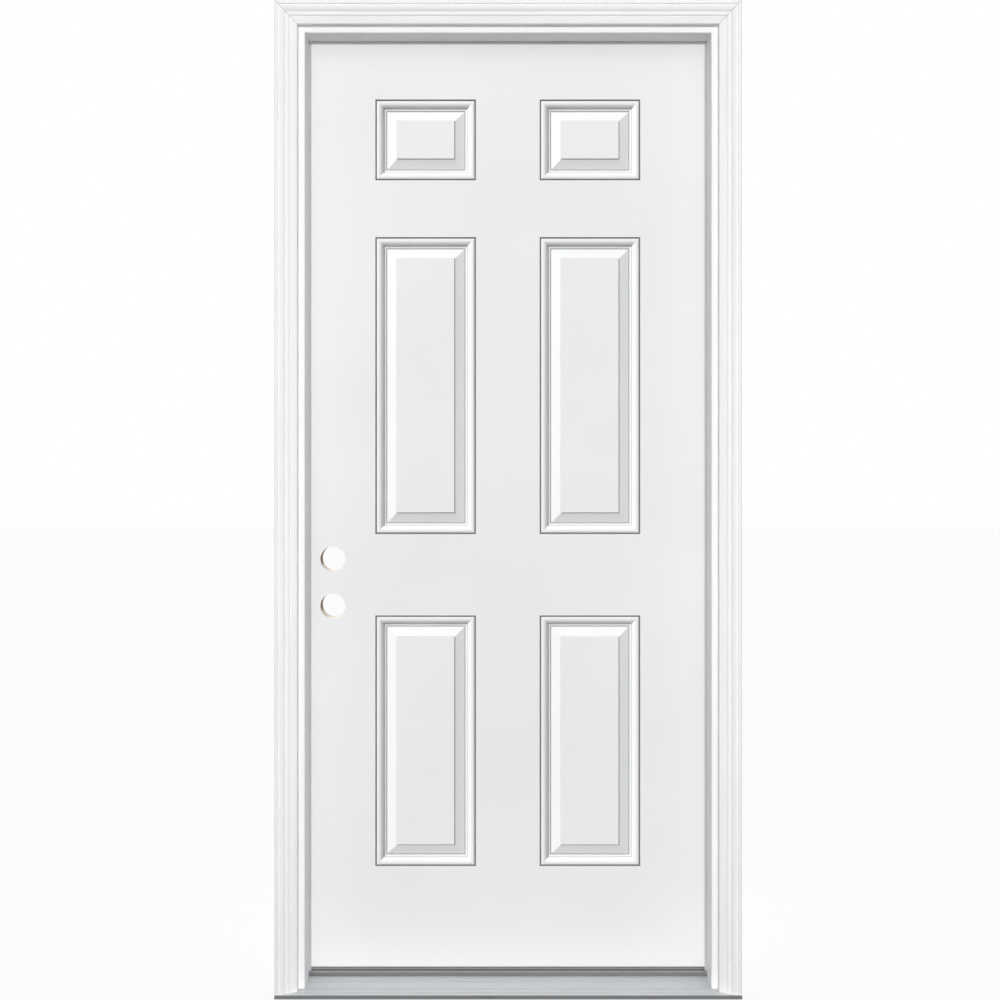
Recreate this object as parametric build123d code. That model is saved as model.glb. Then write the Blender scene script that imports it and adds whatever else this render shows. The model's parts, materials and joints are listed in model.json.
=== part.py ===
from build123d import *
import os

# Prehung steel front door, right-hand inswing: a six-panel steel slab on three butt hinges, in a primed
# wood frame with brickmould outside and an aluminium sill whose riser is lifted by three screws.
# Millimetres. X runs to the right as seen from outside, Y into the house and Z up.
# The origin is on the floor, under the middle of the opening, at the outer edge of the jambs.

# Slab
slab_width = 880.0
slab_height = 2013.0
slab_thickness = 44.5
skin_gauge = 0.6
skin_return = 6.0
skin_bend = 0.4
lock_stile_width = 37.0
hinge_stile_width = 38.0
top_rail_height = 28.0
bottom_rail_height = 34.0

# Six panels stamped in each skin
panel_margin = 152.3
panel_mullion = 137.5
panel_top_margin = 132.4
short_panel_height = 176.0
upper_band = 122.6
lock_band = 175.7
low_panel_height = 544.5
panel_bottom_margin = 216.8

# Stamped moulding of a panel: shares of its width, inward from the outline, and of its depth.
# In turn: outline, groove, start, crest, shoulder and foot of the bead, ledge, quirk, top of the ramp, field.
emboss_width = 48.0
emboss_depth = 10.0
emboss_shares = (
    (0.0, 0.0),
    (0.04, 0.20),
    (0.10, 0.05),
    (0.22, 0.05),
    (0.32, 0.32),
    (0.40, 0.84),
    (0.48, 0.88),
    (0.515, 1.0),
    (0.97, 0.20),
    (1.0, 0.0),
)
foam_relief_shares = ((-0.10, 0.0), (0.46, 1.16), (1.12, 0.0))

# Lock preparation
lock_bore_diameter = 54.0
lock_backset = 60.3
lock_bore_spacing = 101.6
lock_height = 832.8
edge_bore_diameter = 25.4
latch_plate_width = 28.6
latch_plate_height = 57.2
latch_plate_recess = 3.0
lock_block_width = 103.0
lock_block_height = 300.0
strike_plate_width = 28.6
strike_plate_height = 57.2
strike_plate_recess = 1.6
strike_hole_depth = 15.5
strike_hole_diameter = 22.2

# Jambs
jamb_depth = 116.0
jamb_back = 19.0
stop_height = 12.7
stop_arris = 1.5
edge_gap = 3.2
seal_gap = 9.5
kerf_width = 2.5
kerf_depth = 9.0
kerf_setback = 0.6

# Brickmould: shares of its width, inward from the outer edge, and of its thickness, out from the wall
brickmould_width = 46.0
brickmould_thickness = 30.0
brickmould_reveal = 14.0
mould_outer_edge_share = (0.0, 0.94)
mould_outer_crown_share = (0.04, 1.0)
mould_flat_end_share = (0.15, 1.0)
mould_first_quirk_share = (0.172, 0.90)
mould_ovolo_start_share = (0.20, 0.95)
mould_ovolo_middle_share = (0.345, 0.925)
mould_ovolo_end_share = (0.46, 0.82)
mould_second_quirk_share = (0.48, 0.74)
mould_bead_start_share = (0.505, 0.78)
mould_bead_middle_share = (0.585, 0.785)
mould_bead_end_share = (0.66, 0.73)
mould_third_quirk_share = (0.685, 0.65)
mould_slope_start_share = (0.71, 0.685)
mould_slope_end_share = (0.97, 0.585)
mould_inner_edge_share = (1.0, 0.55)

# Weatherstrip and corner pads
strip_proud = 4.5
strip_corner = 3.0
strip_fin_thickness = 1.9
strip_fin_length = 8.0
pad_thickness = 1.2
pad_width = 24.0
pad_height = 50.0

# Sill
sill_nose = 32.0
sill_front_height = 8.0
sill_deck_rise = 7.0
sill_wall = 2.0
sill_dam_rise = 6.0
sill_channel_floor = 8.0
sill_inner_setback = 1.0
sill_rib_height = 0.9
sill_rib_width = 2.6
sill_rib_shares = (0.12, 0.30, 0.67, 0.85)

# Threshold riser, its screws and the sweep that closes on it
riser_top = 25.4
riser_height = 12.4
riser_crown = 1.0
riser_slope = 9.0
riser_hollow_width = 28.0
riser_hollow_height = 5.0
riser_side_gap = 0.5
riser_travel = 4.0
riser_screw_count = 3
riser_screw_share = 0.36
riser_screw_radius = 4.0
riser_screw_slot = 1.2
sweep_gap = 6.6
sweep_plate = 1.6
sweep_inset = 1.0
sweep_fin_thickness = 1.2
sweep_fin_lean = 3.0
sweep_fin_shares = (0.14, 0.38, 0.62, 0.86)
sweep_barb_height = 8.0
sweep_barb_share = 0.24

# Hinges
hinge_height = 101.6
hinge_gauge = 2.4
hinge_backset = 6.3
hinge_pin_offset = 12.7
hinge_barrel_radius = 6.2
hinge_pin_radius = 3.0
hinge_pin_cap_radius = 4.6
hinge_pin_cap_height = 3.0
hinge_knuckle_count = 3
hinge_top_drop = 178.0
hinge_bottom_rise = 279.0
hinge_knuckle_clearance = 0.3

# Allowances
cut_overrun = 5.0
running_clearance = 0.3
pin_clearance = 0.08
fastener_clearance = 0.1

# Places across the opening
slab_edge = slab_width / 2
rabbet_face = slab_edge + edge_gap
stop_face = rabbet_face - stop_height
jamb_outer_face = rabbet_face + jamb_back
brickmould_inner_face = stop_face + brickmould_reveal
brickmould_outer_face = brickmould_inner_face + brickmould_width

# Places through the wall
slab_inner_face = jamb_depth
slab_outer_face = slab_inner_face - slab_thickness
slab_middle = slab_inner_face - slab_thickness / 2
stop_depth = slab_outer_face - seal_gap
kerf_start = stop_depth + kerf_setback
pin_depth = slab_inner_face + hinge_pin_offset
pin_across = slab_edge + edge_gap / 2

# Places up the height
slab_bottom = riser_top + sweep_gap
slab_top = slab_bottom + slab_height
head_rabbet = slab_top + edge_gap
head_stop = head_rabbet - stop_height
head_top = head_rabbet + jamb_back
brickmould_top = head_stop + brickmould_reveal + brickmould_width
lock_middle = slab_bottom + lock_height
lock_bore_heights = (lock_middle - lock_bore_spacing / 2, lock_middle + lock_bore_spacing / 2)
lock_bore_across = -slab_edge + lock_backset
hinge_low = slab_bottom + hinge_bottom_rise
hinge_high = slab_top - hinge_top_drop
hinge_heights = {"top": hinge_high, "middle": (hinge_low + hinge_high) / 2, "bottom": hinge_low}

# Places of the sill
sill_inner_face = jamb_depth - sill_inner_setback
sill_deck_top = sill_front_height + sill_deck_rise
sill_dam_top = sill_deck_top + sill_dam_rise
channel_start = stop_depth + sill_wall
channel_end = sill_inner_face - sill_wall
channel_middle = (channel_start + channel_end) / 2
riser_length = 2 * (rabbet_face - riser_side_gap)
riser_bottom = riser_top - riser_height


def block(corner, opposite):
    """Box between two opposite corners."""
    corner = Vector(*corner)
    size = Vector(*opposite) - corner
    middle = corner + size / 2
    return Pos(*middle) * Box(abs(size.X), abs(size.Y), abs(size.Z))


def bore(centre, direction, radius, length):
    """Round cutter that starts at a point and runs along a direction."""
    face = Plane(origin=centre, z_dir=direction) * Circle(radius)
    return extrude(face, amount=length)


def mitred_run(section, start, end, inward, start_mitre=True, end_mitre=True):
    """Bar of one section, whose X points inward, with 45 degree ends where it meets its neighbours."""
    start = Vector(*start)
    end = Vector(*end)
    inward = Vector(*inward)
    travel = (end - start).normalized()
    run = extrude(Plane(origin=start, x_dir=inward, z_dir=travel) * section, amount=(end - start).length)
    if start_mitre:
        run = split(run, bisect_by=Plane(origin=start, z_dir=travel - inward), keep=Keep.TOP)
    if end_mitre:
        run = split(run, bisect_by=Plane(origin=end, z_dir=-travel - inward), keep=Keep.TOP)
    return run


# Panels of the slab

def panel_outlines():
    """Left, right, bottom and top of each stamped panel."""
    panel_width = (slab_width - 2 * panel_margin - panel_mullion) / 2
    columns = [
        (-slab_edge + panel_margin, -slab_edge + panel_margin + panel_width),
        (slab_edge - panel_margin - panel_width, slab_edge - panel_margin),
    ]
    short_top = slab_top - panel_top_margin
    short_bottom = short_top - short_panel_height
    low_bottom = slab_bottom + panel_bottom_margin
    low_top = low_bottom + low_panel_height
    rows = [(short_bottom, short_top), (low_top + lock_band, short_bottom - upper_band), (low_bottom, low_top)]
    outlines = []
    for left, right in columns:
        for bottom, top in rows:
            outlines.append((left, right, bottom, top))
    return outlines


def emboss_section(line_shares, drop, level):
    """Area between a stamped line, set back by drop, and a flat level: X is inward, Y is depth."""
    line = [(across * emboss_width, deep * emboss_depth + drop) for across, deep in line_shares]
    first = line[0]
    last = line[-1]
    return make_face(Polyline(*line, (last[0], level), (first[0], level), close=True))


def panel_mouldings(section):
    """The section run round all six panels of the outside skin."""
    runs = []
    for left, right, bottom, top in panel_outlines():
        corners = [
            (right, slab_outer_face, bottom),
            (left, slab_outer_face, bottom),
            (left, slab_outer_face, top),
            (right, slab_outer_face, top),
        ]
        inwards = [(0, 0, 1), (1, 0, 0), (0, 0, -1), (-1, 0, 0)]
        for corner, inward in enumerate(inwards):
            runs.append(mitred_run(section, corners[corner - 1], corners[corner], inwards[corner - 1]))
    return runs


def to_inside(shape):
    """Mirror image through the middle of the slab."""
    return mirror(shape, about=Plane(origin=(0, slab_middle, 0), z_dir=(0, 1, 0)))


# Door leaf

def skin(pressed, pressings):
    """Outside sheet with returned edges, pressed round the six panels."""
    outer = Pos(0, slab_outer_face + skin_return / 2) * Rectangle(slab_width, skin_return)
    outer = chamfer(outer.vertices().group_by(Axis.Y)[0], skin_bend)
    inner_depth = skin_return - skin_gauge + cut_overrun
    inner = Rectangle(slab_width - 2 * skin_gauge, inner_depth)
    outer -= Pos(0, slab_outer_face + skin_gauge + inner_depth / 2) * inner
    tray = extrude(Pos(0, 0, slab_bottom) * outer, amount=slab_height)
    return (tray + pressed) - pressings


def lock_bores():
    """Cutters of the two cross bores and of the edge bores that lead to them."""
    cutters = []
    for height in lock_bore_heights:
        cross = (lock_bore_across, slab_outer_face - cut_overrun, height)
        cutters.append(bore(cross, (0, 1, 0), lock_bore_diameter / 2, slab_thickness + 2 * cut_overrun))
        edge = (-slab_edge - cut_overrun, slab_middle, height)
        cutters.append(bore(edge, (1, 0, 0), edge_bore_diameter / 2, lock_backset + cut_overrun))
    return cutters


def plate_recess(mouth, floor, height, width, tall):
    """Cutter of the shallow seat of a lock plate, from its mouth to its floor."""
    return block(
        (mouth, slab_middle - width / 2, height - tall / 2),
        (floor, slab_middle + width / 2, height + tall / 2),
    )


def stile(side, width):
    """Upright of the wood edge frame, let in under the returned edges of both skins."""
    edge = side * slab_edge
    inner = edge - side * width
    sheltered = block(
        (edge - side * skin_gauge, slab_outer_face + skin_gauge, slab_bottom),
        (inner, slab_inner_face - skin_gauge, slab_top),
    )
    bare = block(
        (edge, slab_outer_face + skin_return, slab_bottom),
        (inner, slab_inner_face - skin_return, slab_top),
    )
    return sheltered + bare


def rail(low, high):
    """Cross piece of the wood edge frame."""
    return block(
        (-slab_edge + lock_stile_width, slab_outer_face + skin_gauge, low),
        (slab_edge - hinge_stile_width, slab_inner_face - skin_gauge, high),
    )


def lock_stile():
    """Upright at the lock edge, bored for the latch and the bolt."""
    piece = stile(-1, lock_stile_width) - lock_bores()
    mouth = -slab_edge - cut_overrun
    floor = -slab_edge + latch_plate_recess
    for height in lock_bore_heights:
        piece -= plate_recess(mouth, floor, height, latch_plate_width, latch_plate_height)
    return piece


def lock_block():
    """Wood block behind the lock stile that backs the lock bores."""
    left = -slab_edge + lock_stile_width
    return block(
        (left, slab_outer_face + skin_gauge, lock_middle - lock_block_height / 2),
        (left + lock_block_width, slab_inner_face - skin_gauge, lock_middle + lock_block_height / 2),
    )


def foam_core():
    """Foam that fills what the skins, the edge frame and the lock block leave."""
    core = rail(slab_bottom + bottom_rail_height, slab_top - top_rail_height)
    relief = panel_mouldings(emboss_section(foam_relief_shares, skin_gauge, skin_gauge / 2))
    return core - lock_block() - relief - [to_inside(run) for run in relief]


def sweep_barb_depths():
    """Depths of the two barbs that hold the sweep."""
    reach = slab_thickness / 2 - slab_thickness * sweep_barb_share
    return (slab_middle - reach, slab_middle + reach)


def sweep_barbs(grow):
    """Upright barbs of the sweep, or their grooves when grown."""
    barbs = []
    half = sweep_fin_thickness / 2 + grow
    for depth in sweep_barb_depths():
        barbs.append(
            block(
                (-slab_edge + sweep_inset - grow, depth - half, slab_bottom - sweep_plate),
                (slab_edge - sweep_inset + grow, depth + half, slab_bottom + sweep_barb_height + grow),
            )
        )
    return barbs


def door_sweep():
    """Vinyl seal under the slab: a plate on two barbs, with leaning fins that close on the riser."""
    front = slab_outer_face + sweep_inset
    width = slab_thickness - 2 * sweep_inset
    plate_bottom = slab_bottom - sweep_plate
    fin_bottom = riser_top + running_clearance
    section = Pos(front + width / 2, slab_bottom - sweep_plate / 2) * Rectangle(width, sweep_plate)
    for share in sweep_fin_shares:
        root = front + share * width
        half = sweep_fin_thickness / 2
        section += make_face(
            Polyline(
                (root - half, slab_bottom - sweep_plate / 2),
                (root - half, plate_bottom),
                (root - half - sweep_fin_lean, fin_bottom),
                (root + half - sweep_fin_lean, fin_bottom),
                (root + half, plate_bottom),
                (root + half, slab_bottom - sweep_plate / 2),
                close=True,
            )
        )
    plane = Plane(origin=(-slab_edge + sweep_inset, 0, 0), x_dir=(0, 1, 0), z_dir=(1, 0, 0))
    seal = extrude(plane * section, amount=slab_width - 2 * sweep_inset)
    return seal + sweep_barbs(0)


# Hinges

def knuckle_spans(own):
    """Bottom and top of the knuckles of one leaf, counted from the middle of the hinge."""
    pitch = hinge_height / hinge_knuckle_count
    spans = []
    for index in range(own, hinge_knuckle_count, 2):
        low = -hinge_height / 2 + index * pitch
        spans.append((low, low + pitch))
    return spans


def hinge_leaf(face, inward, height, own):
    """Leaf with its knuckles: inward points away from the gap, own is the first knuckle from the bottom."""
    half = hinge_height / 2
    leaf = block(
        (face, slab_outer_face + hinge_backset, height - half),
        (face + inward * hinge_gauge, pin_depth, height + half),
    )
    for low, high in knuckle_spans(1 - own):
        gap = (pin_across, pin_depth, height + low - hinge_knuckle_clearance / 2)
        tall = high - low + hinge_knuckle_clearance
        leaf -= bore(gap, (0, 0, 1), hinge_barrel_radius + running_clearance, tall)
    for low, high in knuckle_spans(own):
        foot = (pin_across, pin_depth, height + low + hinge_knuckle_clearance / 2)
        leaf += bore(foot, (0, 0, 1), hinge_barrel_radius, high - low - hinge_knuckle_clearance)
    below = (pin_across, pin_depth, height - hinge_height)
    return leaf - bore(below, (0, 0, 1), hinge_pin_radius + pin_clearance, 2 * hinge_height)


def hinge_pin(height):
    """Loose pin with a button head that rests on the barrel."""
    half = hinge_height / 2
    shank = bore((pin_across, pin_depth, height - half), (0, 0, 1), hinge_pin_radius, hinge_height)
    head = bore((pin_across, pin_depth, height + half), (0, 0, 1), hinge_pin_cap_radius, hinge_pin_cap_height)
    return shank + head


def leaf_mortises(face, inward):
    """Cutters of the shallow seats of all three leaves on one side of the gap, open at the inner face."""
    half = hinge_height / 2
    cutters = []
    for height in hinge_heights.values():
        cutters.append(
            block(
                (face - inward * cut_overrun, slab_outer_face + hinge_backset, height - half),
                (face + inward * hinge_gauge, slab_inner_face + cut_overrun, height + half),
            )
        )
    return cutters


# Frame

def jamb_section(with_kerf):
    """Section of a jamb: X runs from the rabbet face to its back, Y into the house."""
    outline = Polyline(
        (jamb_back, 0),
        (jamb_back, jamb_depth),
        (0, jamb_depth),
        (0, stop_depth),
        (-stop_height, stop_depth),
        (-stop_height, 0),
        close=True,
    )
    section = make_face(outline)
    corner = section.vertices().group_by(Axis.X)[0].sort_by(Axis.Y)[0]
    section = chamfer(corner, stop_arris)
    if with_kerf:
        slot = Rectangle(kerf_depth + cut_overrun, kerf_width)
        section -= Pos((kerf_depth - cut_overrun) / 2, kerf_start + kerf_width / 2) * slot
    return section


def jamb_leg(side, with_kerf):
    """Upright of the frame, from the floor to the underside of the head."""
    plane = Plane(origin=(side * rabbet_face, 0, 0), x_dir=(side, 0, 0), z_dir=(0, 0, side))
    return extrude(plane * jamb_section(with_kerf), amount=side * head_top)


def head_bar(with_kerf):
    """Head of the frame, lying across both legs."""
    plane = Plane(origin=(-jamb_outer_face, 0, head_rabbet), x_dir=(0, 0, 1), z_dir=(-1, 0, 0))
    return extrude(plane * jamb_section(with_kerf), amount=-2 * jamb_outer_face)


def strike_cutters():
    """Plate mortises and bolt holes in the strike jamb."""
    mouth = -rabbet_face + cut_overrun
    floor = -rabbet_face - strike_plate_recess
    hole_depth = strike_hole_depth + cut_overrun
    cutters = []
    for height in lock_bore_heights:
        cutters.append(bore((mouth, slab_middle, height), (-1, 0, 0), strike_hole_diameter / 2, hole_depth))
        cutters.append(plate_recess(mouth, floor, height, strike_plate_width, strike_plate_height))
    return cutters


def brickmould_section():
    """Section of the casing: X runs inward from its outer edge, Y out from the wall."""
    def at(share):
        return (share[0] * brickmould_width, share[1] * brickmould_thickness)

    outline = [
        Polyline((0, 0), at(mould_outer_edge_share), at(mould_outer_crown_share), at(mould_flat_end_share)),
        Polyline(at(mould_flat_end_share), at(mould_first_quirk_share), at(mould_ovolo_start_share)),
        ThreePointArc(at(mould_ovolo_start_share), at(mould_ovolo_middle_share), at(mould_ovolo_end_share)),
        Polyline(at(mould_ovolo_end_share), at(mould_second_quirk_share), at(mould_bead_start_share)),
        ThreePointArc(at(mould_bead_start_share), at(mould_bead_middle_share), at(mould_bead_end_share)),
        Polyline(at(mould_bead_end_share), at(mould_third_quirk_share), at(mould_slope_start_share)),
        Polyline(at(mould_slope_start_share), at(mould_slope_end_share), at(mould_inner_edge_share)),
        Polyline(at(mould_inner_edge_share), (brickmould_width, 0), (0, 0)),
    ]
    return make_face(Curve() + outline)


def brickmould_leg(side):
    """Side casing, mitred at the top, its foot cut to the slope of the sill."""
    outer = side * brickmould_outer_face
    foot = (outer, 0, 0)
    top = (outer, 0, brickmould_top)
    section = brickmould_section()
    if side < 0:
        section = mirror(section, about=Plane.XZ)
        leg = mitred_run(section, foot, top, (1, 0, 0), start_mitre=False)
    else:
        leg = mitred_run(section, foot, top, (-1, 0, 0), start_mitre=False)
    return leg - sill_bar(sill_outline(), brickmould_outer_face + cut_overrun)


def brickmould_head():
    """Head casing, mitred at both ends."""
    left = (-brickmould_outer_face, 0, brickmould_top)
    right = (brickmould_outer_face, 0, brickmould_top)
    return mitred_run(mirror(brickmould_section(), about=Plane.XZ), left, right, (0, 0, -1))


# Weatherstrip and pads

def strip_section():
    """Foam seal: X runs from the rabbet face into the wood, Y into the house."""
    reach = stop_height + strip_proud - running_clearance
    width = seal_gap - 2 * running_clearance
    foam = Pos(-running_clearance - reach / 2, stop_depth + seal_gap / 2) * Rectangle(reach, width)
    foam = chamfer(foam.vertices().group_by(Axis.X)[0], strip_corner)
    fin_length = strip_fin_length + running_clearance
    fin = Pos(fin_length / 2 - running_clearance, kerf_start + kerf_width / 2) * Rectangle(
        fin_length, strip_fin_thickness
    )
    return foam + fin


def strip_leg(side):
    """Side seal, from the riser to the seal of the head."""
    low = riser_top + running_clearance
    top = head_stop - strip_proud
    plane = Plane(origin=(side * rabbet_face, 0, low), x_dir=(side, 0, 0), z_dir=(0, 0, side))
    return extrude(plane * strip_section(), amount=side * (top - low))


def strip_head():
    """Head seal, between the two rabbets."""
    half = rabbet_face - running_clearance
    plane = Plane(origin=(-half, 0, head_rabbet), x_dir=(0, 0, 1), z_dir=(-1, 0, 0))
    return extrude(plane * strip_section(), amount=-2 * half)


def corner_pad(side):
    """Foam pad that closes the corner between the seal, the sill and the edge of the slab."""
    low = riser_top + running_clearance
    face = side * rabbet_face
    front = slab_outer_face + running_clearance
    return block((face, front, low), (face - side * pad_thickness, front + pad_width, low + pad_height))


# Sill

def sill_outline():
    """Outer section of the sill: X runs into the house, Y up. Ribs stand on its sloping deck."""
    outline = make_face(
        Polyline(
            (-sill_nose, 0),
            (-sill_nose, sill_front_height),
            (stop_depth, sill_deck_top),
            (stop_depth, sill_dam_top),
            (channel_start, sill_dam_top),
            (channel_start, sill_channel_floor),
            (channel_end, sill_channel_floor),
            (channel_end, sill_dam_top),
            (sill_inner_face, sill_dam_top),
            (sill_inner_face, 0),
            close=True,
        )
    )
    run = stop_depth + sill_nose
    for share in sill_rib_shares:
        middle = stop_depth - share * run
        foot = sill_deck_top - share * sill_deck_rise
        outline += Pos(middle, foot) * Rectangle(sill_rib_width, 2 * sill_rib_height)
    return outline


def substrate_outline():
    """Section of the block under the deck: X runs into the house, Y up."""
    dam_inside = stop_depth + sill_wall / 2
    return make_face(
        Polyline(
            (-sill_nose + sill_wall, 0),
            (-sill_nose + sill_wall, sill_front_height - sill_wall),
            (stop_depth, sill_deck_top - sill_wall),
            (dam_inside, sill_channel_floor - sill_wall),
            (channel_end, sill_channel_floor - sill_wall),
            (channel_end, 0),
            close=True,
        )
    )


def sill_bar(section, half_length):
    """Sill section run across the opening."""
    plane = Plane(origin=(-half_length, 0, 0), x_dir=(0, 1, 0), z_dir=(1, 0, 0))
    return extrude(plane * section, amount=2 * half_length)


def sill_plan():
    """Room for the sill: horns under the casing, then between the stops, then between the rabbets."""
    horns = block((-brickmould_outer_face, -sill_nose, 0), (brickmould_outer_face, 0, sill_dam_top))
    deck = block((-stop_face, -cut_overrun, 0), (stop_face, stop_depth, sill_dam_top))
    channel = block((-rabbet_face, stop_depth - cut_overrun, 0), (rabbet_face, sill_inner_face, sill_dam_top))
    legs = [jamb_leg(-1, False), jamb_leg(1, False)]
    return horns + deck + (channel - legs)


def riser_screw_places():
    """Places of the riser screws across the opening."""
    spread = riser_length * riser_screw_share
    return [(index - (riser_screw_count - 1) / 2) * spread for index in range(riser_screw_count)]


def sill_deck(plan):
    """Aluminium extrusion of the sill, with ribs, dam and riser channel."""
    return sill_bar(sill_outline() - substrate_outline(), brickmould_outer_face) & plan


def sill_substrate(plan):
    """Composite block under the deck."""
    return sill_bar(substrate_outline(), brickmould_outer_face) & plan


def threshold_riser():
    """Crowned cap in the channel of the sill, hollow underneath, with holes for its screws."""
    front = channel_start + riser_side_gap
    back = channel_end - riser_side_gap
    shoulder = riser_top - riser_crown
    section = make_face(
        Polyline(
            (front, riser_bottom),
            (front, shoulder),
            (front + riser_slope, riser_top),
            (back - riser_slope, riser_top),
            (back, shoulder),
            (back, riser_bottom),
            close=True,
        )
    )
    section -= Pos(channel_middle, riser_bottom) * Rectangle(riser_hollow_width, 2 * riser_hollow_height)
    cap = sill_bar(section, riser_length / 2)
    for across in riser_screw_places():
        foot = (across, channel_middle, riser_bottom)
        cap -= bore(foot, (0, 0, 1), riser_screw_radius + running_clearance, riser_height + cut_overrun)
    return cap


def riser_screw(across):
    """Slotted jack screw that stands on the floor of the channel and carries the riser."""
    top = riser_top - riser_travel - running_clearance
    foot = sill_channel_floor + running_clearance
    shank = bore((across, channel_middle, foot), (0, 0, 1), riser_screw_radius, top - foot)
    slot = Box(2 * riser_screw_radius + cut_overrun, riser_screw_slot, 2 * riser_screw_slot)
    return shank - Pos(across, channel_middle, top) * slot


def all_parts():
    """Every node of the door by name."""
    parts = {}

    # Door leaf
    pressed = panel_mouldings(emboss_section(emboss_shares, skin_gauge, skin_gauge / 2))
    pressings = panel_mouldings(emboss_section(emboss_shares, 0, -cut_overrun))
    plain_skin = skin(pressed, pressings)
    bores = lock_bores()
    mortises = leaf_mortises(slab_edge, -1)
    parts["exterior_skin"] = plain_skin - bores - mortises
    parts["interior_skin"] = to_inside(plain_skin) - bores - mortises
    parts["foam_core"] = foam_core()
    parts["lock_stile"] = lock_stile()
    parts["hinge_stile"] = stile(1, hinge_stile_width) - mortises
    parts["top_rail"] = rail(slab_top - top_rail_height, slab_top)
    parts["bottom_rail"] = rail(slab_bottom, slab_bottom + bottom_rail_height)
    parts["lock_block"] = lock_block() - bores
    parts["door_sweep"] = door_sweep()
    for name in ("lock_stile", "hinge_stile", "bottom_rail"):
        parts[name] -= sweep_barbs(fastener_clearance)

    # Hinges
    for name, height in hinge_heights.items():
        parts[f"hinge_frame_leaf_{name}"] = hinge_leaf(rabbet_face, 1, height, 0)
        parts[f"hinge_door_leaf_{name}"] = hinge_leaf(slab_edge, -1, height, 1)
        parts[f"hinge_pin_{name}"] = hinge_pin(height)

    # Frame
    head_blank = head_bar(False)
    parts["strike_jamb"] = jamb_leg(-1, True) - head_blank - strike_cutters()
    parts["hinge_jamb"] = jamb_leg(1, True) - head_blank - leaf_mortises(rabbet_face, 1)
    parts["head_jamb"] = head_bar(True)
    parts["brickmould_strike"] = brickmould_leg(-1)
    parts["brickmould_hinge"] = brickmould_leg(1)
    parts["brickmould_head"] = brickmould_head()
    parts["weatherstrip_strike"] = strip_leg(-1)
    parts["weatherstrip_hinge"] = strip_leg(1)
    parts["weatherstrip_head"] = strip_head()
    parts["corner_pad_strike"] = corner_pad(-1)
    parts["corner_pad_hinge"] = corner_pad(1)

    # Sill and threshold
    plan = sill_plan()
    parts["sill_deck"] = sill_deck(plan)
    parts["sill_substrate"] = sill_substrate(plan)
    parts["threshold_riser"] = threshold_riser()
    for index, across in enumerate(riser_screw_places()):
        parts[f"riser_screw_{index + 1}"] = riser_screw(across)
    return parts


os.makedirs("parts", exist_ok=True)
for name, part in all_parts().items():
    export_step(part, f"parts/{name}.step")
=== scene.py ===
# %% [markdown]
# # A prehung steel front door
# A front door like this comes from the works as one unit: a steel-faced slab already hung on three
# hinges in a primed wood frame, with brickmould round the outside and an aluminium sill underneath.
# The solid pieces are loaded as they are, and the cells below give them their finishes, add the small
# pieces that the solids leave out, and set up the studio.

# %% Load the solid pieces
import json
import math

import bmesh
import bpy
from mathutils import Matrix, Vector

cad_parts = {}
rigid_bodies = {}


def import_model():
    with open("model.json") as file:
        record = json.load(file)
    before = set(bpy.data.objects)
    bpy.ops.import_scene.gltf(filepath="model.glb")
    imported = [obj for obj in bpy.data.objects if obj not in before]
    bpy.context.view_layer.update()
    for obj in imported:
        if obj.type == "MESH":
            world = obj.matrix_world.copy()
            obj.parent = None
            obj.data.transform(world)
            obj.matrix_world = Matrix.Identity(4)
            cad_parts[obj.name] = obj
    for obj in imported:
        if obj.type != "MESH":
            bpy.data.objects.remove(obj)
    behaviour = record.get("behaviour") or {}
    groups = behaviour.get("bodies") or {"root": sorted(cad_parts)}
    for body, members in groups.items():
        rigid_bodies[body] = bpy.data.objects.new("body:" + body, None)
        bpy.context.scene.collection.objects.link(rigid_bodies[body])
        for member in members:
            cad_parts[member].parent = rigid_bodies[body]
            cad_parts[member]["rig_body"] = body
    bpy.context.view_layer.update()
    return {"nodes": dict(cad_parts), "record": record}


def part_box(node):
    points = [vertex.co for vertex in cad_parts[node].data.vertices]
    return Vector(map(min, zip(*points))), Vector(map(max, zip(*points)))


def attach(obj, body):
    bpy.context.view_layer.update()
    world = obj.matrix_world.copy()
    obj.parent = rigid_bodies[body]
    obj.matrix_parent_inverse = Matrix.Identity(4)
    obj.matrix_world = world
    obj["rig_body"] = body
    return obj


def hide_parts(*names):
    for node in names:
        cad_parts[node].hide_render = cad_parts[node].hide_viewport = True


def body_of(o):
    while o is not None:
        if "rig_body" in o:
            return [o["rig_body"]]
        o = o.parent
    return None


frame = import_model()
nodes = frame["nodes"]

# %% [markdown]
# ## Reading a texture
# Every finish below starts from the same idea: a noise pattern, laid out in metres on the piece itself.
# An image could be wrapped on instead, but a noise needs no unwrapping and follows any shape. The three
# numbers of `cycles` say how often the pattern repeats per metre along each axis, so a small number
# stretches it into grain or brush marks.

# %% A new finish and its pattern
def new_finish(name, colour, roughness, metallic=0.0):
    finish = bpy.data.materials.new(name)
    finish.use_nodes = True
    shader = finish.node_tree.nodes["Principled BSDF"]
    shader.inputs["Base Color"].default_value = (*colour, 1.0)
    shader.inputs["Roughness"].default_value = roughness
    shader.inputs["Metallic"].default_value = metallic
    return finish


def pattern(finish, cycles, detail):
    tree = finish.node_tree
    place = tree.nodes.new("ShaderNodeTexCoord")
    stretch = tree.nodes.new("ShaderNodeMapping")
    stretch.inputs["Scale"].default_value = cycles
    noise = tree.nodes.new("ShaderNodeTexNoise")
    noise.inputs["Scale"].default_value = 1.0
    noise.inputs["Detail"].default_value = detail
    tree.links.new(place.outputs["Object"], stretch.inputs["Vector"])
    tree.links.new(stretch.outputs["Vector"], noise.inputs["Vector"])
    return noise.outputs["Fac"]


# %% [markdown]
# ## Using a pattern
# The same noise can do three jobs on a real surface: tint it, make it duller in places, and raise it a
# little. Each job is one node between the noise and a socket of the shader, so a finish picks what it needs.

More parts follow.
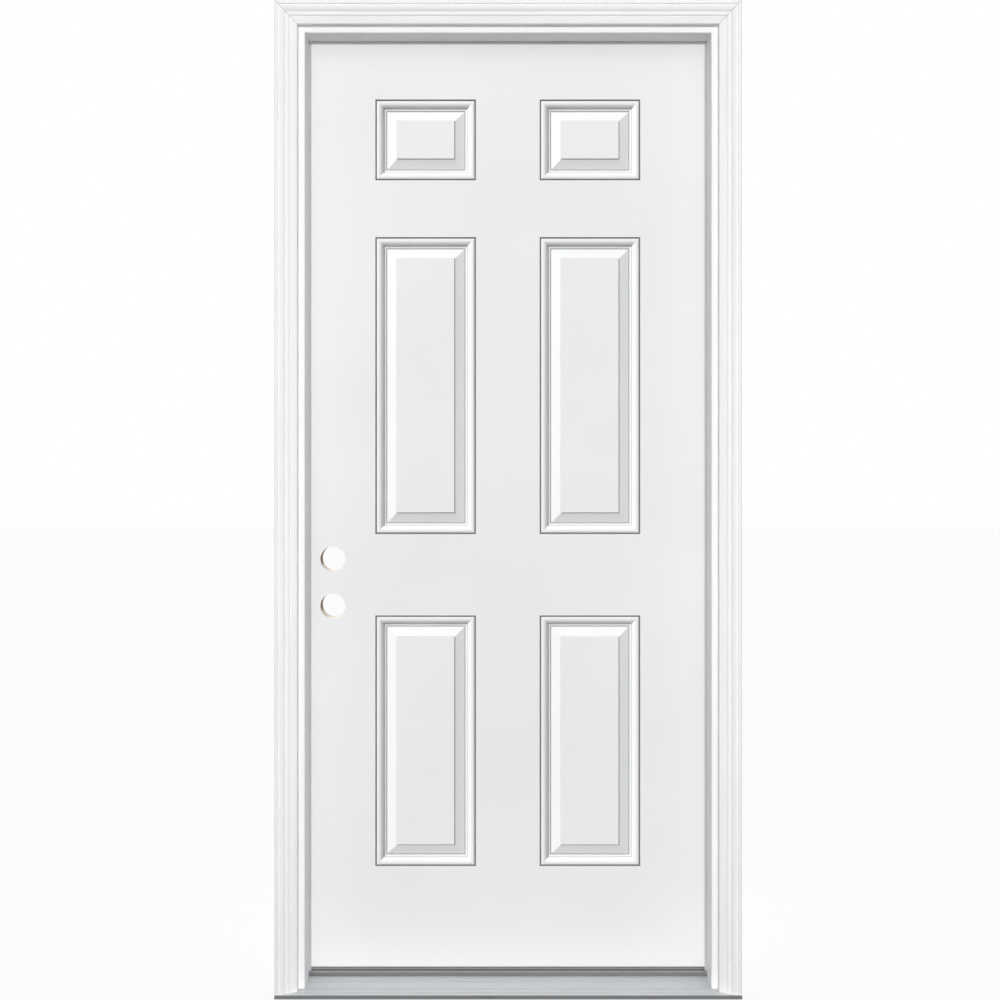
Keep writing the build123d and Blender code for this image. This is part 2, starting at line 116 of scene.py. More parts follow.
# %% Tint, gloss and relief
def tint(finish, amount, low_colour, high_colour, low=0.35, high=0.65):
    tree = finish.node_tree
    ramp = tree.nodes.new("ShaderNodeValToRGB")
    ramp.color_ramp.elements[0].position = low
    ramp.color_ramp.elements[0].color = (*low_colour, 1.0)
    ramp.color_ramp.elements[1].position = high
    ramp.color_ramp.elements[1].color = (*high_colour, 1.0)
    tree.links.new(amount, ramp.inputs["Fac"])
    tree.links.new(ramp.outputs["Color"], tree.nodes["Principled BSDF"].inputs["Base Color"])


def vary_gloss(finish, amount, low_roughness, high_roughness):
    tree = finish.node_tree
    spread = tree.nodes.new("ShaderNodeMapRange")
    spread.inputs["To Min"].default_value = low_roughness
    spread.inputs["To Max"].default_value = high_roughness
    tree.links.new(amount, spread.inputs["Value"])
    tree.links.new(spread.outputs["Result"], tree.nodes["Principled BSDF"].inputs["Roughness"])


def relief(finish, amount, height):
    tree = finish.node_tree
    bump = tree.nodes.new("ShaderNodeBump")
    bump.inputs["Strength"].default_value = 1.0
    bump.inputs["Distance"].default_value = height
    tree.links.new(amount, bump.inputs["Height"])
    tree.links.new(bump.outputs["Normal"], tree.nodes["Principled BSDF"].inputs["Normal"])


# %% [markdown]
# ## Primed steel
# The two skins of the slab leave the works with a sprayed white primer. Sprayed paint is never quite
# flat: it dries with a faint orange peel a few millimetres across. A very low relief gives that, and
# the colour stays nearly even. The narrow grooves of the panels get painted shade: their colour is mixed
# towards a dark grey where lines of shadow fall. It could be painted on an image, but here the mesh of a
# skin carries how much, as an attribute, which a Mix node reads. A Mix node keeps its colour sockets behind
# those for numbers, so they have numbers here.

# %% Finish of the skins
# colour of the painted shade in the grooves of the panels and at the mitres
groove_shade_colour = (0.12, 0.12, 0.122)
first_colour = 6
second_colour = 7
mixed_colour = 2


def paint_shade_by_attribute(finish, attribute, colour):
    tree = finish.node_tree
    amount = tree.nodes.new("ShaderNodeAttribute")
    amount.attribute_name = attribute
    shade_mix = tree.nodes.new("ShaderNodeMix")
    shade_mix.data_type = "RGBA"
    shade_mix.inputs[second_colour].default_value = (*colour, 1.0)
    base = tree.nodes["Principled BSDF"].inputs["Base Color"]
    tree.links.new(amount.outputs["Fac"], shade_mix.inputs["Factor"])
    tree.links.new(base.links[0].from_socket, shade_mix.inputs[first_colour])
    tree.links.new(shade_mix.outputs[mixed_colour], base)


def primed_steel():
    finish = new_finish("primed_steel", (0.80, 0.806, 0.812), 0.45)
    cloud = pattern(finish, (3.0, 3.0, 3.0), 2.0)
    tint(finish, cloud, (0.79, 0.796, 0.802), (0.81, 0.816, 0.822))
    vary_gloss(finish, pattern(finish, (40.0, 40.0, 40.0), 3.0), 0.40, 0.50)
    relief(finish, pattern(finish, (350.0, 350.0, 350.0), 2.0), 0.00005)
    # painted shade: the colour is mixed towards dark grey where the mesh marks a groove
    paint_shade_by_attribute(finish, "groove_shade", groove_shade_colour)
    return finish


plain_finishes = {"primed_steel": primed_steel()}
print("skins are finished in", list(plain_finishes))

# %% [markdown]
# ## Primed wood
# Jambs and brickmould are milled from pine and dipped in white primer. The grain still telegraphs
# through as faint streaks along each board. Uprights and head pieces run different ways, so the same
# recipe is made twice with the stretch turned.

# %% Finish of the frame
grain_across = 110.0
grain_along = 5.0


def primed_wood(name, cycles):
    finish = new_finish(name, (0.91, 0.91, 0.915), 0.6)
    finish.node_tree.nodes["Principled BSDF"].inputs["Specular IOR Level"].default_value = 0.2
    streaks = pattern(finish, cycles, 4.0)
    tint(finish, streaks, (0.89, 0.89, 0.895), (0.925, 0.925, 0.93), 0.3, 0.6)
    vary_gloss(finish, streaks, 0.55, 0.70)
    relief(finish, streaks, 0.00003)
    # painted shade: the mitre grooves of the boards are darkened the same way as the panel grooves
    paint_shade_by_attribute(finish, "groove_shade", groove_shade_colour)
    return finish


upright_grain = (grain_across, grain_across, grain_along)
level_grain = (grain_along, grain_across, grain_across)
board_finishes = {
    "primed_wood": (primed_wood("primed_upright", upright_grain), primed_wood("primed_level", level_grain)),
}
print("boards are finished in", [finish.name for finish in board_finishes["primed_wood"]])

# %% [markdown]
# ## Bare pine
# The edges of the slab are wood under the steel, and they show on the lock edge and at the bottom. Bare
# pine has wide bands of early and late wood, so here the streaks are strong in colour.

# %% Finish of the slab's wood edge
def bare_pine(name, cycles):
    finish = new_finish(name, (0.54, 0.46, 0.36), 0.65)
    bands = pattern(finish, cycles, 5.0)
    tint(finish, bands, (0.45, 0.37, 0.28), (0.61, 0.53, 0.43), 0.32, 0.62)
    relief(finish, bands, 0.00012)
    return finish


board_finishes["edge_wood"] = (bare_pine("pine_upright", upright_grain), bare_pine("pine_level", level_grain))
print("slab edges are finished in", [finish.name for finish in board_finishes["edge_wood"]])

# %% [markdown]
# ## Metals
# The sill is an aluminium extrusion left as it comes from the press, with fine drag lines along its
# length. Hinges are satin steel, brushed along the leaf, and the screws are plain zinc. One recipe does
# for all three: what differs is the colour, how polished the metal is, and which way the lines run.

# %% Finishes of the metals
line_shade = 0.92


def drawn_metal(name, colour, cycles, low_roughness, high_roughness, height):
    finish = new_finish(name, colour, low_roughness, metallic=1.0)
    lines = pattern(finish, cycles, 4.0)
    darker = [channel * line_shade for channel in colour]
    tint(finish, lines, darker, colour)
    vary_gloss(finish, lines, low_roughness, high_roughness)
    relief(finish, lines, height)
    return finish


plain_finishes["mill_aluminium"] = drawn_metal(
    "mill_aluminium", (0.77, 0.78, 0.79), (3.0, 900.0, 900.0), 0.56, 0.70, 0.00003
)
plain_finishes["hinge_steel"] = drawn_metal(
    "hinge_steel", (0.58, 0.56, 0.53), (600.0, 900.0, 8.0), 0.28, 0.40, 0.00002
)
plain_finishes["zinc_steel"] = drawn_metal(
    "zinc_steel", (0.62, 0.62, 0.60), (900.0, 900.0, 900.0), 0.30, 0.45, 0.00002
)
print("finishes so far", list(plain_finishes))

# %% [markdown]
# ## Painted shade on the sill
# The deck of the sill stays bright, while its front lip and the dam behind the deck are darkened to grey
# with painted shade. It could be a second material on those faces, but both lie at their own depth in the
# piece, so a ramp read from the depth, with a stop on either side of each edge, darkens them within the one
# finish.

# %% Painted shade on lip and dam
dam_depth = 0.062
lip_painted_shade = 0.36
deck_shade = 1.0
dam_painted_shade = 0.50
edge_start = 0.0004
edge_end = 0.0008


def paint_shade_by_depth(finish, front, back, stops):
    tree = finish.node_tree
    place = tree.nodes.new("ShaderNodeTexCoord")
    parts = tree.nodes.new("ShaderNodeSeparateXYZ")
    share = tree.nodes.new("ShaderNodeMapRange")
    share.inputs["From Min"].default_value = front
    share.inputs["From Max"].default_value = back
    ramp = tree.nodes.new("ShaderNodeValToRGB")
    marks = ramp.color_ramp.elements
    while len(marks) < len(stops):
        marks.new(0.5)
    for mark, (depth, shade) in zip(marks, stops):
        mark.position = (depth - front) / (back - front)
        mark.color = (shade, shade, shade, 1.0)
    shaded = tree.nodes.new("ShaderNodeMix")
    shaded.data_type = "RGBA"
    shaded.blend_type = "MULTIPLY"
    shaded.inputs["Factor"].default_value = 1.0
    base = tree.nodes["Principled BSDF"].inputs["Base Color"]
    tree.links.new(place.outputs["Object"], parts.inputs["Vector"])
    tree.links.new(parts.outputs["Y"], share.inputs["Value"])
    tree.links.new(share.outputs["Result"], ramp.inputs["Fac"])
    tree.links.new(base.links[0].from_socket, shaded.inputs[first_colour])
    tree.links.new(ramp.outputs["Color"], shaded.inputs[second_colour])
    tree.links.new(shaded.outputs[mixed_colour], base)


sill_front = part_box("sill_deck")[0].y
sill_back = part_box("sill_deck")[1].y
dam_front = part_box("strike_jamb")[0].y + dam_depth
sill_stops = (
    (sill_front, lip_painted_shade),
    (sill_front + edge_start, lip_painted_shade),
    (sill_front + edge_end, deck_shade),
    (dam_front - edge_end, deck_shade),
    (dam_front - edge_start, dam_painted_shade),
    (sill_back, dam_painted_shade),
)
# painted shade: the lip and the dam of the sill are darkened in its colour
paint_shade_by_depth(plain_finishes["mill_aluminium"], sill_front, sill_back, sill_stops)
print("sill from", round(sill_front, 4), "to", round(sill_back, 4), "with its dam at", round(dam_front, 4))

# %% [markdown]
# ## Composites, foam and vinyl
# The block under the sill and the riser are moulded composites with a pebbled face. The seals are soft
# foam in a thin skin, and the sweep under the slab is grey vinyl. All of them are one dull colour with
# a fine tooth, so they share a recipe too, and the number of pebbles per metre tells them apart.

# %% Finishes of the soft and moulded pieces
pebble_shade = 1.15


def moulded(name, colour, cycles, roughness, height):
    finish = new_finish(name, colour, roughness)
    pebbles = pattern(finish, (cycles, cycles, cycles), 3.0)
    paler = [min(1.0, channel * pebble_shade) for channel in colour]
    tint(finish, pebbles, colour, paler)
    relief(finish, pebbles, height)
    return finish


moulded_recipes = {
    "core_foam": ((0.74, 0.66, 0.42), 500.0, 0.9, 0.0004),
    "sill_composite": ((0.05, 0.05, 0.055), 700.0, 0.7, 0.0001),
    "riser_composite": ((0.27, 0.27, 0.275), 700.0, 0.7, 0.0001),
    "seal_foam": ((0.58, 0.585, 0.59), 900.0, 0.75, 0.00008),
    "sweep_vinyl": ((0.27, 0.27, 0.275), 900.0, 0.6, 0.00004),
}
for name, recipe in moulded_recipes.items():
    plain_finishes[name] = moulded(name, *recipe)
print("moulded finishes", list(moulded_recipes))

# %% [markdown]
# ## Dressing the solid pieces
# Each piece carries the name of its finish in the record, so one table from that name to a material
# dresses nearly everything. Only boards need a second look, because their grain has to run along them:
# the longest side of a piece's box says which way that is.

# %% Materials by finish
def finish_for(node, slot):
    if slot not in board_finishes:
        return plain_finishes[slot]
    low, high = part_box(node)
    size = high - low
    upright, level = board_finishes[slot]
    return upright if size.z > size.x else level


slots = {part["node"]: part["material_slot"] for part in frame["record"]["subparts"]}
for node, slot in slots.items():
    nodes[node].data.materials.clear()
    nodes[node].data.materials.append(finish_for(node, slot))
print("dressed", len(slots), "pieces in", len(set(slots.values())), "finishes")

# %% [markdown]
# ## Putting a piece in the scene
# A mesh that is shaped below becomes an object at the origin, with its place in its own points, just as
# the solid pieces have theirs. It then rides on the body that carries it, so it moves with the door.

# %% Piece helpers
def add_piece(name, work, finish):
    mesh = bpy.data.meshes.new(name)
    work.to_mesh(mesh)
    work.free()
    mesh.materials.append(finish)
    piece = bpy.data.objects.new(name, mesh)
    bpy.context.scene.collection.objects.link(piece)
    return piece


def fit_piece(piece, body, replaced=()):
    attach(piece, body)
    if replaced:
        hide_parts(*replaced)
    print(piece.name, "has", len(piece.data.polygons), "faces and rides on", body)


# %% [markdown]
# ## Panels of the skins
# Each skin is one steel sheet, and its six panels are stamped: a rounded bead, a cove, a narrow groove
# and a long ramp up to the field. A section could be swept round every panel and cut in, but insetting
# a face again and again, a little further in and a little deeper each time, gives the same mitred
# moulding and is how a panel door is usually modelled. The steps follow the section from the outline.

# %% Layout of the panels
slab_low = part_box("lock_stile")[0]
slab_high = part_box("hinge_stile")[1]
panel_margin = 0.1523
panel_mullion = 0.1375
panel_top_margin = 0.1324
short_panel_height = 0.176
upper_band = 0.1226
lock_band = 0.1757
low_panel_height = 0.5445
panel_bottom_margin = 0.2168

column_lines = [
    slab_low.x + panel_margin,
    -panel_mullion / 2,
    panel_mullion / 2,
    slab_high.x - panel_margin,
]
low_bottom = slab_low.z + panel_bottom_margin
low_top = low_bottom + low_panel_height
short_top = slab_high.z - panel_top_margin
short_bottom = short_top - short_panel_height
row_lines = [low_bottom, low_top, low_top + lock_band, short_bottom - upper_band, short_bottom, short_top]
print("columns", [round(x, 4) for x in column_lines], "rows", [round(z, 4) for z in row_lines])

# %% [markdown]
# ## Steps of the moulding
# Each step has three numbers: how far in from the outline it lies, how deep it is pressed, both in metres,
# and how much painted shade darkens it. The painted shade lies in the groove of the outline, at the foot of
# the bead, in the groove before the ramp and at the top of the ramp, where the lines of shadow fall. A curve
# could give the section too, but a plain table shows where each line of the moulding comes from.

# %% Pressing by steps
moulding_steps = [
    (0.0004, 0.0004, 0.3),
    (0.0014, 0.0019, 1.0),
    (0.0019, 0.0023, 1.0),
    (0.0024, 0.0022, 1.0),
    (0.0036, 0.0011, 0.4),
    (0.0048, 0.0005, 0.0),
    (0.0066, 0.0002, 0.0),
    (0.0088, 0.0002, 0.0),
    (0.0108, 0.0006, 0.0),
    (0.0127, 0.0014, 0.0),
    (0.0145, 0.0026, 0.0),
    (0.0161, 0.0041, 0.0),
    (0.0175, 0.0058, 0.0),
    (0.0186, 0.0074, 0.3),
    (0.0191, 0.0083, 0.5),
    (0.0196, 0.0086, 0.3),
    (0.0202, 0.0087, 0.0),
    (0.0229, 0.0088, 0.0),
    (0.0235, 0.0091, 0.3),
    (0.0243, 0.0099, 0.8),
    (0.0248, 0.0100, 0.8),
    (0.0254, 0.0097, 0.3),
    (0.0262, 0.0094, 0.0),
    (0.0451, 0.0026, 0.0),
    (0.0459, 0.0023, 0.2),
    (0.0464, 0.0020, 0.5),
    (0.0472, 0.0006, 0.2),
    (0.0480, 0.0000, 0.0),
]


def press_panels(work, panels):
    groove_shade = work.verts.layers.float["groove_shade"]
    last_across = 0.0
    last_deep = 0.0
    for across, deep, shade_share in moulding_steps:
        bmesh.ops.inset_individual(
            work,
            faces=panels,
            thickness=across - last_across,
            depth=last_deep - deep,
            use_even_offset=True,
        )
        # painted shade: the new ring of points takes its step's share of darkening
        for face in panels:
            for vert in face.verts:
                vert[groove_shade] = shade_share
        last_across = across
        last_deep = deep


print("moulding of", len(moulding_steps), "steps,", moulding_steps[-1][0], "m wide")

# %% [markdown]
# ## The sheet
# The sheet starts as one flat face. Cuts along the edges of the panels, beside the lock bores and at the
# hinge seats divide it into cells: six of them are pressed, two are swapped for a face with a round hole,
# and on the inside skin three slips at the edge are taken out for the hinge leaves. Then both long edges
# are folded back over the wood, and the whole gets its thickness.

# %% Flat sheet and its cells
touching = 0.000001


def flat_sheet(depth, inward):
    middle = (slab_low + slab_high) / 2
    size = slab_high - slab_low
    turn = Matrix.Rotation(inward * math.pi / 2, 4, "X")
    stand = Matrix.Translation((middle.x, depth, middle.z)) @ turn
    work = bmesh.new()
    work.verts.layers.float.new("groove_shade")
    spread = stand @ Matrix.Diagonal((size.x, size.z, 1.0, 1.0))
    bmesh.ops.create_grid(work, x_segments=1, y_segments=1, size=0.5, matrix=spread)
    return work


def cells_within(work, low_x, high_x, low_z, high_z):
    found = []
    for face in work.faces:
        middle = face.calc_center_bounds()
        if low_x < middle.x < high_x and low_z < middle.z < high_z:
            found.append(face)
    return found


def cut_cells(work, cells, axis, place):
    direction = Vector((0.0, 0.0, 0.0))
    direction[axis] = 1.0
    parts = set(cells)
    for face in cells:
        parts.update(face.edges)
        parts.update(face.verts)
    bmesh.ops.bisect_plane(
        work, geom=list(parts), dist=touching, plane_co=direction * place, plane_no=direction
    )


# %% [markdown]
# ## Holes and seats
# The lock bores go right through the slab, 54 mm across. A round hole in a square cell is a ring of
# points inside the cell's own edge, with the space between them filled. The hinge leaves are let into
# the edge of the inside skin, so three slips as deep as a leaf is thick come out of it.

# %% Holes and seats of the sheet
mounts = {mount["name"]: mount for mount in frame["record"]["mounts"]}
bore_places = [Vector(mounts[name]["pos_m"]) for name in ("knob_bore", "deadbolt_bore")]
bore_radius = mounts["knob_bore"]["dims"]["r_mm"] / 1000
bore_sides = 64
leaf_gauge = 0.0024
hinge_names = ("top", "middle", "bottom")
print("bores of radius", bore_radius, "at heights", [round(place.z, 4) for place in bore_places])


def open_bores(work, depth, inward):
    margin = cells_within(work, slab_low.x, column_lines[0], row_lines[0], row_lines[3])
    bmesh.ops.dissolve_faces(work, faces=margin)
    margin = cells_within(work, slab_low.x, column_lines[0], row_lines[0], row_lines[3])
    cut_cells(work, margin, 0, 2 * bore_places[0].x - slab_low.x)
    middle = (bore_places[0].z + bore_places[1].z) / 2
    spacing = abs(bore_places[1].z - bore_places[0].z)
    for place in (middle - spacing, middle, middle + spacing):
        strip = cells_within(work, slab_low.x, bore_places[0].x + bore_radius, row_lines[0], row_lines[3])
        cut_cells(work, strip, 2, place)
    for place in bore_places:
        around = bore_radius
        cell = cells_within(work, place.x - around, place.x + around, place.z - around, place.z + around)[0]
        rim = list(cell.edges)
        bmesh.ops.delete(work, geom=[cell], context="FACES_ONLY")
        stand = Matrix.Translation((place.x, depth, place.z)) @ Matrix.Rotation(math.pi / 2, 4, "X")
        ring = bmesh.ops.create_circle(work, segments=bore_sides, radius=bore_radius, matrix=stand)
        ring_edges = {edge for vert in ring["verts"] for edge in vert.link_edges}
        filled = bmesh.ops.triangle_fill(
            work, edges=rim + list(ring_edges), use_beauty=True, use_dissolve=False
        )
        for item in filled["geom"]:
            if isinstance(item, bmesh.types.BMFace):
                item.normal_update()
                if item.normal.y * inward > 0.0:
                    item.normal_flip()


def open_seats(work):
    margin = cells_within(work, column_lines[3], slab_high.x, slab_low.z, slab_high.z)
    cut_cells(work, margin, 0, slab_high.x - leaf_gauge)
    for name in hinge_names:
        low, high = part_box(f"hinge_door_leaf_{name}")
        for place in (low.z, high.z):
            slip = cells_within(work, slab_high.x - leaf_gauge, slab_high.x, slab_low.z, slab_high.z)
            cut_cells(work, slip, 2, place)
        seat = cells_within(work, slab_high.x - leaf_gauge, slab_high.x, low.z, high.z)
        bmesh.ops.delete(work, geom=seat, context="FACES")


# %% [markdown]
# ## Folding and shading
# The narrow strips of a moulding are shaded smooth, so that they read as one rounded bead, while wide
# flat faces and the mitre lines in the corners stay crisp.

# %% Folds, shading and both skins
sheet_gauge = 0.0006
fold_depth = 0.006
smooth_below = 0.005
crease = math.radians(25.0)


def fold_long_edges(work, inward):
    rims = []
    for edge in work.edges:
        places = [abs(vert.co.x) for vert in edge.verts]
        if edge.is_boundary and min(places) > slab_high.x - touching:
            rims.append(edge)
    made = bmesh.ops.extrude_edge_only(work, edges=rims)
    folded = [item for item in made["geom"] if isinstance(item, bmesh.types.BMVert)]
    bmesh.ops.translate(work, verts=folded, vec=(0.0, inward * fold_depth, 0.0))
    for item in made["geom"]:
        if isinstance(item, bmesh.types.BMFace):
            item.normal_update()
            if item.normal.x * item.calc_center_bounds().x < 0.0:
                item.normal_flip()


def shade_strips(work):
    for face in work.faces:
        longest = max(edge.calc_length() for edge in face.edges)
        face.smooth = face.calc_area() / longest < smooth_below
    for edge in work.edges:
        run = edge.verts[1].co - edge.verts[0].co
        mitre = abs(run.x) > touching and abs(run.z) > touching
        edge.smooth = not mitre and edge.calc_face_angle(0.0) < crease


def skin_sheet(name, depth, inward, seated):
    work = flat_sheet(depth, inward)
    for place in column_lines:
        cut_cells(work, work.faces[:], 0, place)
    for place in row_lines:
        cut_cells(work, work.faces[:], 2, place)
    if seated:
        open_seats(work)
    open_bores(work, depth, inward)
    panels = []
    for column in (0, 2):
        for row in (0, 2, 4):
            panels += cells_within(
                work, column_lines[column], column_lines[column + 1], row_lines[row], row_lines[row + 1]
            )
    press_panels(work, panels)
    fold_long_edges(work, inward)
    shade_strips(work)
    skin = add_piece(name, work, plain_finishes["primed_steel"])
    wall = skin.modifiers.new("sheet", "SOLIDIFY")
    wall.thickness = sheet_gauge
    wall.offset = -1.0
    wall.use_even_offset = True
    return skin


outer_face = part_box("exterior_skin")[0].y
inner_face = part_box("interior_skin")[1].y
outside_skin = skin_sheet("outside_skin", outer_face, 1, False)
inside_skin = skin_sheet("inside_skin", inner_face, -1, True)
fit_piece(outside_skin, "door_leaf", ["exterior_skin"])
fit_piece(inside_skin, "door_leaf", ["interior_skin"])

# %% [markdown]
# ## Eased edges
# No board leaves a planer with a razor edge, and hinge leaves and the riser are rounded a little too. A Bevel
# modifier could do that, but the loose triangles of a solid would get in its way. So each solid is copied,
# its triangles are merged back into whole faces, and every sharp edge gets a narrow bevel that catches a
# line of light. Two boards of a mitre then meet in a fine groove, which gets painted shade as the grooves of
# the panels do.

# %% Eased copies of the solids
flat_angle = math.radians(1.0)
arris_angle = math.radians(40.0)
mitre_share = 0.69
joint_painted_shade = 1.0
beside_joint_painted_shade = 0.7
eased_steps = 2
eased_widths = {
    "primed_wood": 0.0009,
    "riser_composite": 0.0006,
    "hinge_steel": 0.0004,
}
carriers = {}
for body, members in frame["record"]["behaviour"]["bodies"].items():
    for node in members:
        carriers[node] = body


def eased_copy(node, width):
    work = bmesh.new()
    work.from_mesh(nodes[node].data)
    groove_shade = work.verts.layers.float.new("groove_shade")
    bmesh.ops.remove_doubles(work, verts=work.verts, dist=touching)
    bmesh.ops.dissolve_limit(work, angle_limit=flat_angle, verts=work.verts, edges=work.edges)
    arrises = []
    for edge in work.edges:
        if edge.calc_face_angle(0.0) > arris_angle:
            arrises.append(edge)
    bmesh.ops.bevel(
        work,
        geom=arrises,
        offset=width,
        offset_type="OFFSET",
        segments=eased_steps,
        profile=0.5,
        affect="EDGES",
        clamp_overlap=True,
        material=-1,
    )
    # painted shade: the bevel faces where two boards meet at a mitre, and the points beside them, are marked
    # to be darkened
    joint = set()
    for face in work.faces:
        face.normal_update()
        if min(abs(face.normal.x), abs(face.normal.z)) > mitre_share:
            joint.update(face.verts)
    for vert in joint:
        for edge in vert.link_edges:
            edge.other_vert(vert)[groove_shade] = beside_joint_painted_shade
    for vert in joint:
        vert[groove_shade] = joint_painted_shade
    shade_strips(work)
    return add_piece(f"eased_{node}", work, nodes[node].data.materials[0])


for node, slot in slots.items():
    if slot in eased_widths:
        fit_piece(eased_copy(node, eased_widths[slot]), carriers[node], [node])

# %% [markdown]
# ## Hinge screws
# Each hinge leaf is held by four screws with a cross recess, too small for the solid model. A head starts
# as a short cone. Its face is cut into cells, and the cells that form the cross are pushed down.

# %% One screw head
head_radius = 0.0042
head_height = 0.0012
head_proud = 0.0006
head_sides = 24
head_taper = 0.9
facing_out = 0.9
cross_reach = 0.0026
cross_width = 0.0007
cross_depth = 0.0005


def screw_head(work, stand):
    new = bmesh.new()
    bmesh.ops.create_cone(
        new,
        cap_ends=True,
        segments=head_sides,
        radius1=head_radius,
        radius2=head_radius * head_taper,
        depth=head_height,
    )
    for axis in (0, 1):
        for place in (-cross_reach, -cross_width, cross_width, cross_reach):
            cut_cells(new, [face for face in new.faces if face.normal.z > facing_out], axis, place)
    arms = []
    for face in new.faces:
        middle = face.calc_center_bounds()
        across = sorted((abs(middle.x), abs(middle.y)))
        if face.normal.z > facing_out and across[0] < cross_width and across[1] < cross_reach:
            arms.append(face)
    made = bmesh.ops.extrude_face_region(new, geom=arms)
    sunk = [item for item in made["geom"] if isinstance(item, bmesh.types.BMVert)]
    bmesh.ops.translate(new, verts=sunk, vec=(0.0, 0.0, -cross_depth))
    bmesh.ops.delete(new, geom=[face for face in arms if face.is_valid], context="FACES")
    bmesh.ops.transform(new, matrix=stand, verts=new.verts)
    part = bpy.data.meshes.new("head")
    new.to_mesh(part)
    new.free()
    work.from_mesh(part)
    bpy.data.meshes.remove(part)


# %% [markdown]
# ## Screws of a leaf
# On a butt hinge the four screws stand in a zigzag, so that they don't split the wood along one line. Their
# places are shares of the leaf's own height and depth. Twelve heads on one side of the hinges move together,
# so they go into one mesh, which rides on the frame or on the door leaf.

# %% All the screws of one side
screw_rises = (-0.37, -0.13, 0.13, 0.37)
screw_reaches = (0.62, 0.34, 0.34, 0.62)


def leaf_screws(name, side, facing, body):
    work = bmesh.new()
    for hinge in hinge_names:
        low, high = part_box(f"hinge_{side}_leaf_{hinge}")
        face = slab_high.x if side == "door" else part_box("corner_pad_hinge")[1].x
        middle = (low.z + high.z) / 2
        for rise, reach in zip(screw_rises, screw_reaches):
            depth = low.y + reach * (inner_face - low.y)
            height = middle + rise * (high.z - low.z)
            proud = head_proud - head_height / 2
            stand = Matrix.Translation((face + facing * proud, depth, height))
            screw_head(work, stand @ Matrix.Rotation(facing * math.pi / 2, 4, "Y"))
    fit_piece(add_piece(name, work, plain_finishes["zinc_steel"]), body)


leaf_screws("frame_leaf_screws", "frame", -1, "frame")
leaf_screws("door_leaf_screws", "door", 1, "door_leaf")

# %% [markdown]
# ## Studio
# The floor and the air round the door are plain white to the camera, and much dimmer to the light that
# falls on the door, so the whites of the door keep their shape. A Light Path node tells the two apart. Most
# of the floor's white is its own glow. The rest is white paper under the lamps, which takes the shadow of
# the door, so the door stands on it.

# %% Floor
ground_size = 40.0
ground_colour = (0.12, 0.12, 0.12)
white_share = 0.80


def seen_directly(tree):
    path = tree.nodes.new("ShaderNodeLightPath")
    both = tree.nodes.new("ShaderNodeMath")
    both.operation = "MAXIMUM"
    every = tree.nodes.new("ShaderNodeMath")
    every.operation = "MAXIMUM"
    tree.links.new(path.outputs["Is Camera Ray"], both.inputs[0])
    tree.links.new(path.outputs["Is Glossy Ray"], both.inputs[1])
    tree.links.new(both.outputs["Value"], every.inputs[0])
    tree.links.new(path.outputs["Is Transmission Ray"], every.inputs[1])
    return every.outputs["Value"]


def studio_floor():
    finish = new_finish("studio_floor", ground_colour, 0.9)
    tree = finish.node_tree
    paper = tree.nodes["Principled BSDF"]
    paper.inputs["Specular IOR Level"].default_value = 0.0
    colour = tree.nodes.new("ShaderNodeMix")
    colour.data_type = "RGBA"
    colour.inputs[first_colour].default_value = (*ground_colour, 1.0)
    colour.inputs[second_colour].default_value = (1.0, 1.0, 1.0, 1.0)
    glow = tree.nodes.new("ShaderNodeEmission")
    mix = tree.nodes.new("ShaderNodeMixShader")
    share = tree.nodes.new("ShaderNodeMath")
    share.operation = "MULTIPLY"
    share.inputs[1].default_value = white_share
    seen = seen_directly(tree)
    tree.links.new(seen, colour.inputs["Factor"])
    tree.links.new(colour.outputs[mixed_colour], paper.inputs["Base Color"])
    tree.links.new(seen, share.inputs[0])
    tree.links.new(share.outputs["Value"], mix.inputs["Fac"])
    tree.links.new(paper.outputs["BSDF"], mix.inputs[1])
    tree.links.new(glow.outputs["Emission"], mix.inputs[2])
    tree.links.new(mix.outputs["Shader"], tree.nodes["Material Output"].inputs["Surface"])
    return finish


ground = bmesh.new()
bmesh.ops.create_grid(ground, x_segments=1, y_segments=1, size=ground_size / 2)
floor = add_piece("floor", ground, studio_floor())
print("floor", ground_size, "m square")

# %% [markdown]
# ## Lamps
# In the picture the frame is lit flat from the front, while the slab is lit from high on the left, where
# every slope that faces up or left is the brighter one. Light linking does the same: a lamp can be told
# which pieces it lights, and which pieces may shade it. So the leaf has its own key, which the frame
# doesn't shade, with a soft fill from the front, and the frame has a broad lamp of its own. The sill is
# bare metal, which shows the white room round it, so neither of those lamps is turned on it. One more lamp
# behind lights the inside of the door, and everything else.

# %% What each lamp may light
leaf_side = bpy.data.collections.new("leaf_side")
frame_side = bpy.data.collections.new("frame_side")
for piece in bpy.context.scene.objects:
    if piece.type == "MESH" and piece.data.materials[0] != plain_finishes["mill_aluminium"]:
        lit = leaf_side if body_of(piece) == ["door_leaf"] else frame_side
        lit.objects.link(piece)

# %% World and lamps
sky_strength = 0.34
frame_way = Vector((0.0, 1.0, -0.09))
fill_way = Vector((0.0, 1.0, -0.15))
key_way = Vector((0.58, 0.62, -0.50))
back_way = Vector((0.0, -0.85, -0.52))


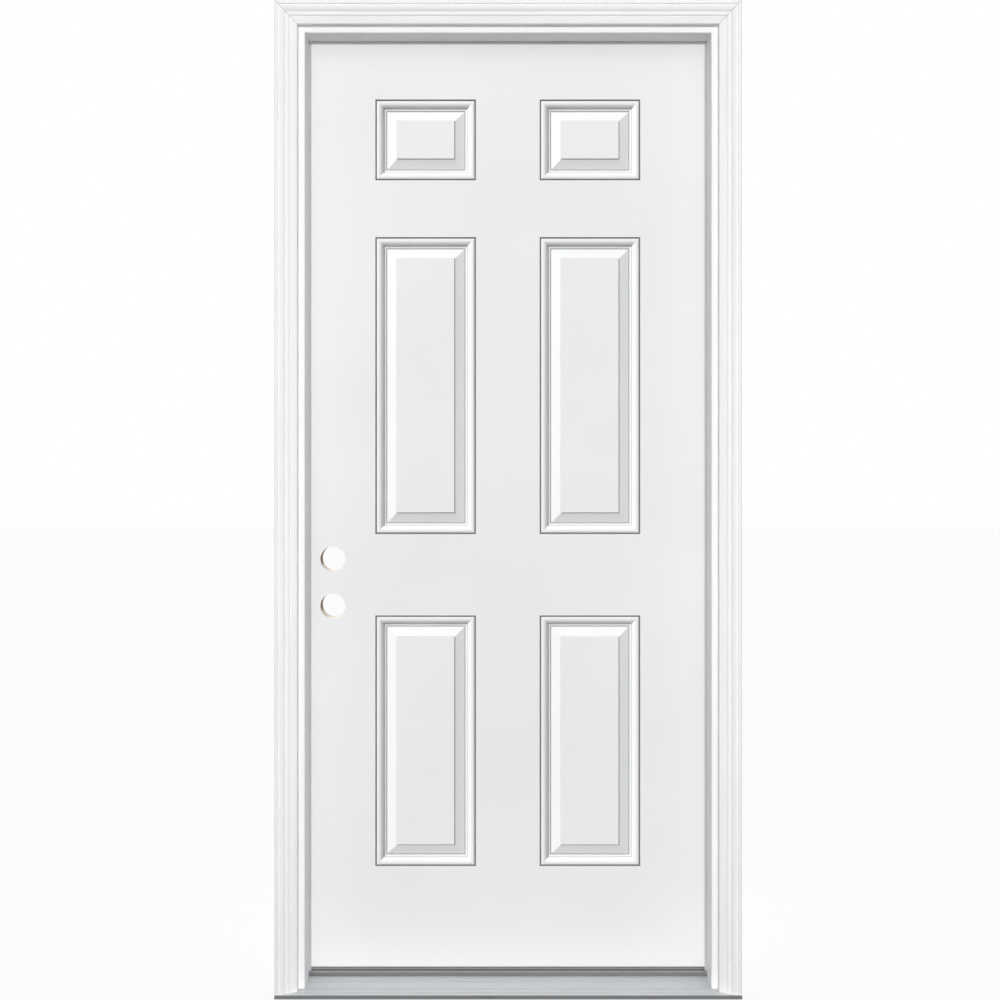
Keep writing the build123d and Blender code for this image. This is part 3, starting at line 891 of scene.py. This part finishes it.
def white_room():
    world = bpy.data.worlds.new("white_room")
    world.use_nodes = True
    tree = world.node_tree
    sky = tree.nodes["Background"]
    sky.inputs["Color"].default_value = (0.97, 0.98, 1.0, 1.0)
    sky.inputs["Strength"].default_value = sky_strength
    white = tree.nodes.new("ShaderNodeBackground")
    white.inputs["Color"].default_value = (1.0, 1.0, 1.0, 1.0)
    white.inputs["Strength"].default_value = 1.0
    mix = tree.nodes.new("ShaderNodeMixShader")
    tree.links.new(seen_directly(tree), mix.inputs["Fac"])
    tree.links.new(sky.outputs["Background"], mix.inputs[1])
    tree.links.new(white.outputs["Background"], mix.inputs[2])
    tree.links.new(mix.outputs["Shader"], tree.nodes["World Output"].inputs["Surface"])
    bpy.context.scene.world = world


def add_lamp(name, strength, softness, direction, lit=None, shaded_by=None):
    lamp = bpy.data.lights.new(name, "SUN")
    lamp.energy = strength
    lamp.angle = math.radians(softness)
    holder = bpy.data.objects.new(name, lamp)
    holder.rotation_euler = direction.to_track_quat("-Z", "Y").to_euler()
    holder.light_linking.receiver_collection = lit
    holder.light_linking.blocker_collection = shaded_by
    bpy.context.scene.collection.objects.link(holder)
    print(name, "at", strength)


white_room()
add_lamp("frame_lamp", strength=2.38, softness=16.0, direction=frame_way, lit=frame_side)
add_lamp("leaf_fill", strength=0.85, softness=70.0, direction=fill_way, lit=leaf_side)
add_lamp("leaf_key", strength=2.90, softness=20.0, direction=key_way, lit=leaf_side, shaded_by=leaf_side)
add_lamp("back_lamp", strength=2.7, softness=60.0, direction=back_way)

# %% [markdown]
# ## Camera
# The picture looks straight at the outside of the door from about three metres, with the eye near the
# middle of its height. The lens is shifted down a little, so the uprights stay parallel.

# %% Camera
camera_place = Vector((-0.0172, -3.0, 1.135))
camera_lens = 50.98
camera_shift = -0.0421
sensor_width = 36.0

camera_data = bpy.data.cameras.new("camera")
camera_data.lens = camera_lens
camera_data.sensor_width = sensor_width
camera_data.shift_y = camera_shift
camera = bpy.data.objects.new("camera", camera_data)
camera.location = camera_place
camera.rotation_euler = (math.pi / 2, 0.0, 0.0)
bpy.context.scene.collection.objects.link(camera)
bpy.context.scene.camera = camera
bpy.context.scene.view_settings.view_transform = "Standard"
print("camera", camera_place, camera_lens)
